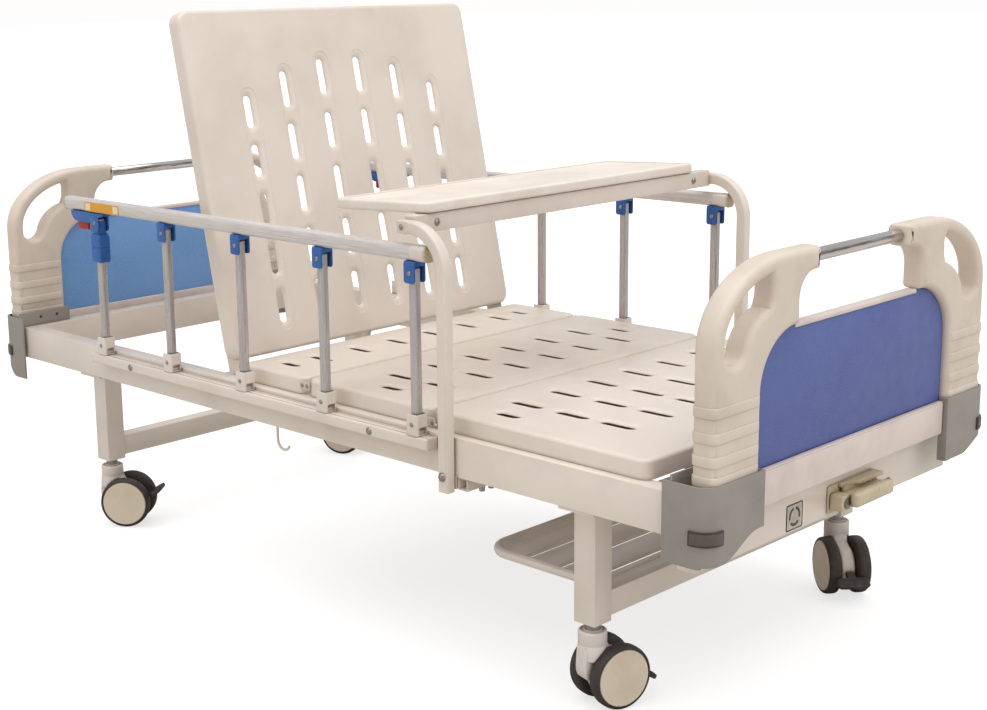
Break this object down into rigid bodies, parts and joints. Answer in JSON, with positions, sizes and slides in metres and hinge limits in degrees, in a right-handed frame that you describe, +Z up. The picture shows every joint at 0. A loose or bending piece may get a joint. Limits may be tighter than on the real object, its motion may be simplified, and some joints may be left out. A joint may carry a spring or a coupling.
{
  "type": "adjustable hospital bed",
  "caption": "Hospital bed with a crank-raised backrest, folding guard rails, a swing-over tray, slotted steel platform, end boards and twin-wheel casters.",
  "frame": {"origin": "on the floor under the middle of the bed's overall length and width", "axes": "+X towards the foot end, +Y towards the patient's left side, +Z up"},
  "size_m": [2.293, 1.05, 1.3124],
  "materials": {
    "ivory_paint": "smooth powder coat, satin",
    "ivory_plastic": "fine moulded grain, soft sheen",
    "blue_board": "fine leather grain",
    "grey_plastic": "fine moulded grain",
    "blue_plastic": "soft sheen",
    "red_plastic": "soft sheen",
    "cream_plastic": "soft sheen",
    "black_rubber": "matt",
    "caster_grey": "satin",
    "aluminium": "fine brushed",
    "chrome": "polished",
    "zinc_steel": "dull zinc plate"
  },
  "bodies": {
    "bed_frame": {"main_frame": "ivory_paint", "foot_end_panel": "ivory_paint", "head_leg_frame": "ivory_paint", "foot_leg_frame": "ivory_paint", "shoe_rack": "ivory_paint", "drainage_hook": "ivory_paint", "corner_sleeve_foot_right": "grey_plastic", "footboard_post_right": "ivory_plastic", "corner_sleeve_foot_left": "grey_plastic", "footboard_post_left": "ivory_plastic", "footboard_panel": "blue_board", "footboard_bar": "chrome", "corner_sleeve_head_right": "grey_plastic", "headboard_post_right": "ivory_plastic", "corner_sleeve_head_left": "grey_plastic", "headboard_post_left": "ivory_plastic", "headboard_panel": "blue_board", "headboard_bar": "chrome", "seat_panel": "ivory_paint", "guard_lower_bar_left": "ivory_paint", "guard_lower_bar_right": "ivory_paint", "crank_mount": "cream_plastic"},
    "backrest": {"backrest_panel": "ivory_paint", "backrest_lift_frame": "ivory_paint"},
    "lift_nut": {"push_tube": "zinc_steel"},
    "crank": {"lead_screw": "zinc_steel", "crank_arm": "cream_plastic"},
    "folding_grip": {"crank_grip": "cream_plastic"},
    "thigh_rest": {"thigh_panel": "ivory_paint"},
    "calf_rest": {"calf_panel": "ivory_paint"},
    "caster_foot_right": {"caster_fork_foot_right": "caster_grey"},
    "wheels_foot_right": {"caster_wheels_foot_right": "black_rubber"},
    "pedal_foot_right": {"caster_pedal_foot_right": "black_rubber"},
    "caster_head_right": {"caster_fork_head_right": "caster_grey"},
    "wheels_head_right": {"caster_wheels_head_right": "black_rubber"},
    "pedal_head_right": {"caster_pedal_head_right": "black_rubber"},
    "caster_foot_left": {"caster_fork_foot_left": "caster_grey"},
    "wheels_foot_left": {"caster_wheels_foot_left": "black_rubber"},
    "pedal_foot_left": {"caster_pedal_foot_left": "black_rubber"},
    "caster_head_left": {"caster_fork_head_left": "caster_grey"},
    "wheels_head_left": {"caster_wheels_head_left": "black_rubber"},
    "pedal_head_left": {"caster_pedal_head_left": "black_rubber"},
    "guard_post_1_right": {"guard_post_1_right": "aluminium"},
    "guard_post_2_right": {"guard_post_2_right": "aluminium"},
    "guard_post_3_right": {"guard_post_3_right": "aluminium"},
    "guard_post_4_right": {"guard_post_4_right": "aluminium"},
    "guard_post_5_right": {"guard_post_5_right": "aluminium"},
    "guard_top_right": {"guard_top_rail_right": "aluminium", "guard_release_bracket_right": "blue_plastic"},
    "trigger_right": {"guard_release_trigger_right": "red_plastic"},
    "guard_post_1_left": {"guard_post_1_left": "aluminium"},
    "guard_post_2_left": {"guard_post_2_left": "aluminium"},
    "guard_post_3_left": {"guard_post_3_left": "aluminium"},
    "guard_post_4_left": {"guard_post_4_left": "aluminium"},
    "guard_post_5_left": {"guard_post_5_left": "aluminium"},
    "guard_top_left": {"guard_top_rail_left": "aluminium", "guard_release_bracket_left": "blue_plastic"},
    "trigger_left": {"guard_release_trigger_left": "red_plastic"},
    "table_arch": {"table_frame": "ivory_paint"},
    "table_tray": {"table_board": "ivory_plastic"}
  },
  "joints": [
    {"name": "backrest_tilt", "type": "hinge", "parent": "bed_frame", "child": "backrest", "pos_m": [-0.195, 0, 0.505], "axis": [0, 1, 0], "range_deg": [-77.9, 0]},
    {"name": "lift_slide", "type": "slide", "parent": "bed_frame", "child": "lift_nut", "axis": [1, 0, 0], "range_m": [0, 0.2039]},
    {"name": "crank_turn", "type": "hinge", "parent": "bed_frame", "child": "crank", "pos_m": [0, 0, 0.361], "axis": [1, 0, 0], "range_deg": [-150, 0]},
    {"name": "grip_fold", "type": "hinge", "parent": "crank", "child": "folding_grip", "pos_m": [1.12815, 0.136, 0.368], "axis": [0, 0, 1], "range_deg": [0, 90]},
    {"name": "knee_lift", "type": "hinge", "parent": "bed_frame", "child": "thigh_rest", "pos_m": [0.06, 0, 0.508], "axis": [0, -1, 0], "range_deg": [0, 28]},
    {"name": "calf_follow", "type": "hinge", "parent": "thigh_rest", "child": "calf_rest", "pos_m": [0.444, 0, 0.4935], "axis": [0, 1, 0], "range_deg": [0, 48]},
    {"name": "swivel_foot_right", "type": "hinge", "parent": "bed_frame", "child": "caster_foot_right", "pos_m": [0.842, -0.436, 0], "axis": [0, 0, 1], "continuous": true},
    {"name": "roll_foot_right", "type": "hinge", "parent": "caster_foot_right", "child": "wheels_foot_right", "pos_m": [0.8531, -0.39653, 0.064], "axis": [-0.9627, 0.2706, 0], "continuous": true},
    {"name": "brake_foot_right", "type": "hinge", "parent": "caster_foot_right", "child": "pedal_foot_right", "pos_m": [0.865, -0.35417, 0.068], "axis": [-0.9627, 0.2706, 0], "range_deg": [-62, 0]},
    {"name": "swivel_head_right", "type": "hinge", "parent": "bed_frame", "child": "caster_head_right", "pos_m": [-0.758, -0.436, 0], "axis": [0, 0, 1], "continuous": true},
    {"name": "roll_head_right", "type": "hinge", "parent": "caster_head_right", "child": "wheels_head_right", "pos_m": [-0.72618, -0.41014, 0.064], "axis": [-0.6307, 0.776, 0], "continuous": true},
    {"name": "brake_head_right", "type": "hinge", "parent": "caster_head_right", "child": "pedal_head_right", "pos_m": [-0.69204, -0.38239, 0.068], "axis": [-0.6307, 0.776, 0], "range_deg": [0, 62]},
    {"name": "swivel_foot_left", "type": "hinge", "parent": "bed_frame", "child": "caster_foot_left", "pos_m": [0.842, 0.436, 0], "axis": [0, 0, 1], "continuous": true},
    {"name": "roll_foot_left", "type": "hinge", "parent": "caster_foot_left", "child": "wheels_foot_left", "pos_m": [0.87359, 0.40987, 0.064], "axis": [0.6374, 0.7705, 0], "continuous": true},
    {"name": "brake_foot_left", "type": "hinge", "parent": "caster_foot_left", "child": "pedal_foot_left", "pos_m": [0.90749, 0.38182, 0.068], "axis": [0.6374, 0.7705, 0], "range_deg": [-62, 0]},
    {"name": "swivel_head_left", "type": "hinge", "parent": "bed_frame", "child": "caster_head_left", "pos_m": [-0.758, 0.436, 0], "axis": [0, 0, 1], "continuous": true},
    {"name": "roll_head_left", "type": "hinge", "parent": "caster_head_left", "child": "wheels_head_left", "pos_m": [-0.79574, 0.41998, 0.064], "axis": [0.3907, -0.9205, 0], "continuous": true},
    {"name": "brake_head_left", "type": "hinge", "parent": "caster_head_left", "child": "pedal_head_left", "pos_m": [-0.83624, 0.40279, 0.068], "axis": [0.3907, -0.9205, 0], "range_deg": [0, 62]},
    {"name": "guard_fold_right", "type": "hinge", "parent": "bed_frame", "child": "guard_post_1_right", "pos_m": [-0.647, -0.506, 0.503], "axis": [0, -1, 0], "range_deg": [0, 80]},
    {"name": "guard_post_2_fold_right", "type": "hinge", "parent": "bed_frame", "child": "guard_post_2_right", "pos_m": [-0.3735, -0.506, 0.503], "axis": [0, -1, 0], "range_deg": [0, 80.5]},
    {"name": "guard_post_3_fold_right", "type": "hinge", "parent": "bed_frame", "child": "guard_post_3_right", "pos_m": [-0.1, -0.506, 0.503], "axis": [0, -1, 0], "range_deg": [0, 80.5]},
    {"name": "guard_post_4_fold_right", "type": "hinge", "parent": "bed_frame", "child": "guard_post_4_right", "pos_m": [0.1735, -0.506, 0.503], "axis": [0, -1, 0], "range_deg": [0, 80.5]},
    {"name": "guard_post_5_fold_right", "type": "hinge", "parent": "bed_frame", "child": "guard_post_5_right", "pos_m": [0.447, -0.506, 0.503], "axis": [0, -1, 0], "range_deg": [0, 80.5]},
    {"name": "guard_top_level_right", "type": "hinge", "parent": "guard_post_1_right", "child": "guard_top_right", "pos_m": [-0.647, -0.506, 0.809], "axis": [0, 1, 0], "range_deg": [0, 80.5]},
    {"name": "trigger_right", "type": "slide", "parent": "guard_top_right", "child": "trigger_right", "axis": [0, 0, 1], "range_m": [0, 0.005]},
    {"name": "guard_fold_left", "type": "hinge", "parent": "bed_frame", "child": "guard_post_1_left", "pos_m": [-0.647, 0.506, 0.503], "axis": [0, -1, 0], "range_deg": [0, 80]},
    {"name": "guard_post_2_fold_left", "type": "hinge", "parent": "bed_frame", "child": "guard_post_2_left", "pos_m": [-0.3735, 0.506, 0.503], "axis": [0, -1, 0], "range_deg": [0, 80.5]},
    {"name": "guard_post_3_fold_left", "type": "hinge", "parent": "bed_frame", "child": "guard_post_3_left", "pos_m": [-0.1, 0.506, 0.503], "axis": [0, -1, 0], "range_deg": [0, 80.5]},
    {"name": "guard_post_4_fold_left", "type": "hinge", "parent": "bed_frame", "child": "guard_post_4_left", "pos_m": [0.1735, 0.506, 0.503], "axis": [0, -1, 0], "range_deg": [0, 80.5]},
    {"name": "guard_post_5_fold_left", "type": "hinge", "parent": "bed_frame", "child": "guard_post_5_left", "pos_m": [0.447, 0.506, 0.503], "axis": [0, -1, 0], "range_deg": [0, 80.5]},
    {"name": "guard_top_level_left", "type": "hinge", "parent": "guard_post_1_left", "child": "guard_top_left", "pos_m": [-0.647, 0.506, 0.809], "axis": [0, 1, 0], "range_deg": [0, 80.5]},
    {"name": "trigger_left", "type": "slide", "parent": "guard_top_left", "child": "trigger_left", "axis": [0, 0, 1], "range_m": [0, 0.005]},
    {"name": "table_swing", "type": "hinge", "parent": "bed_frame", "child": "table_arch", "pos_m": [0.5265, 0, 0.409], "axis": [0, 1, 0], "range_deg": [0, 65]},
    {"name": "tray_flip", "type": "hinge", "parent": "table_arch", "child": "table_tray", "pos_m": [0.4395, 0, 0.9195], "axis": [0, 1, 0], "range_deg": [0, 45]}
  ],
  "couplings": [
    {"joint": "lift_slide", "follows": "backrest_tilt", "m_per_rad": -0.14981},
    {"joint": "calf_follow", "follows": "knee_lift", "ratio": 1.695},
    {"joint": "guard_post_2_fold_right", "follows": "guard_fold_right", "ratio": 1},
    {"joint": "guard_post_3_fold_right", "follows": "guard_fold_right", "ratio": 1},
    {"joint": "guard_post_4_fold_right", "follows": "guard_fold_right", "ratio": 1},
    {"joint": "guard_post_5_fold_right", "follows": "guard_fold_right", "ratio": 1},
    {"joint": "guard_top_level_right", "follows": "guard_fold_right", "ratio": 1},
    {"joint": "guard_post_2_fold_left", "follows": "guard_fold_left", "ratio": 1},
    {"joint": "guard_post_3_fold_left", "follows": "guard_fold_left", "ratio": 1},
    {"joint": "guard_post_4_fold_left", "follows": "guard_fold_left", "ratio": 1},
    {"joint": "guard_post_5_fold_left", "follows": "guard_fold_left", "ratio": 1},
    {"joint": "guard_top_level_left", "follows": "guard_fold_left", "ratio": 1}
  ]
}
